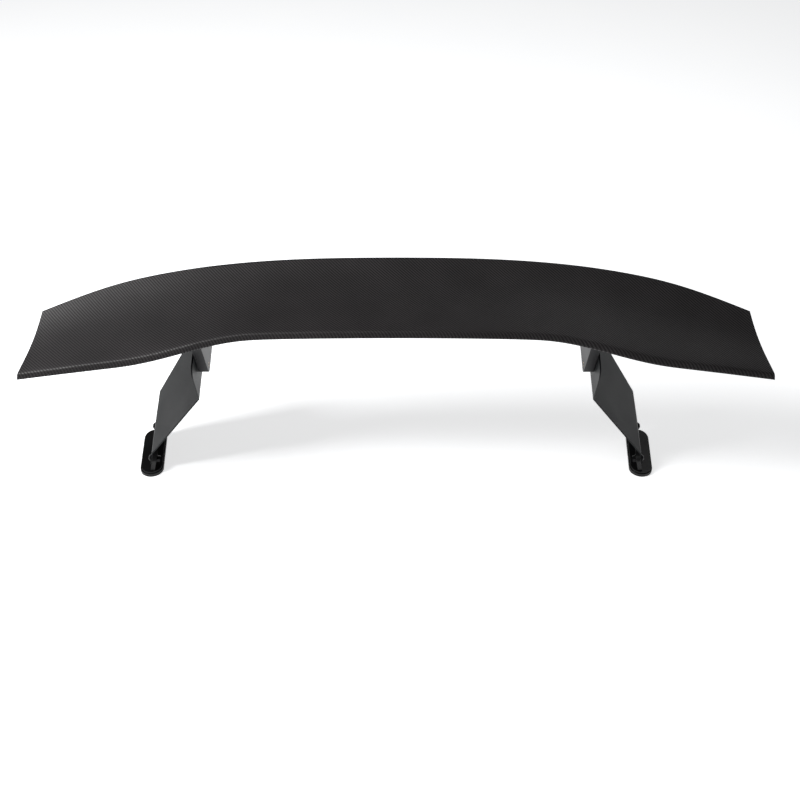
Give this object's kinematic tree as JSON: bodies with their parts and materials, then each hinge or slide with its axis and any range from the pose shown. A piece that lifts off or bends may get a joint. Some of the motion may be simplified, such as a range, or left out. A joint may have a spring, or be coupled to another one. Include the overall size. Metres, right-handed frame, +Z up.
{
  "type": "racing rear wing",
  "caption": "Wide carbon rear wing with swept, drooping tips on two splayed sheet-metal stands with four-hole tilt setting and gasketed feet.",
  "frame": {"origin": "middle of the bounding box in X and Y, at the undersides of the foot gaskets", "axes": "+X across the car (the part's right), +Y to the car's rear, +Z up"},
  "size_m": [1.5, 0.2866, 0.4243],
  "materials": {
    "carbon": "satin clear coat over twill carbon",
    "foam_core": "bare structural foam",
    "machined_black": "black anodised",
    "black_sheet": "satin black powder coat",
    "cast_foot": "satin black powder coat",
    "gasket": "matte",
    "fastener": "black oxide steel",
    "brass": "bare"
  },
  "bodies": {
    "stands": {"left_stand": "black_sheet", "right_stand": "black_sheet", "left_foot": "cast_foot", "right_foot": "cast_foot", "left_foot_screws": "fastener", "right_foot_screws": "fastener", "left_foot_nuts": "fastener", "right_foot_nuts": "fastener", "left_deck_inserts": "brass", "right_deck_inserts": "brass", "left_gasket": "gasket", "right_gasket": "gasket"},
    "wing": {"left_upper_skin": "carbon", "middle_upper_skin": "carbon", "right_upper_skin": "carbon", "left_lower_skin": "carbon", "middle_lower_skin": "carbon", "right_lower_skin": "carbon", "front_spar": "foam_core", "rear_spar": "foam_core", "centre_rib": "foam_core", "left_tip_rib": "carbon", "right_tip_rib": "carbon", "left_keel": "machined_black", "right_keel": "machined_black", "left_keel_inserts": "brass", "right_keel_inserts": "brass", "left_pivot_washer": "fastener", "right_pivot_washer": "fastener", "left_pivot_screw": "fastener", "right_pivot_screw": "fastener"},
    "left_index": {"left_index_screw": "fastener"},
    "right_index": {"right_index_screw": "fastener"}
  },
  "joints": [
    {"name": "wing_angle", "type": "hinge", "parent": "stands", "child": "wing", "pos_m": [0, -0.02578, 0.26476], "axis": [1, 0, 0], "range_deg": [0, 15]},
    {"name": "left_index_slide", "type": "slide", "parent": "wing", "child": "left_index", "axis": [-1, 0, 0], "range_m": [0, 0.0055]},
    {"name": "right_index_slide", "type": "slide", "parent": "wing", "child": "right_index", "axis": [1, 0, 0], "range_m": [0, 0.0055]}
  ]
}
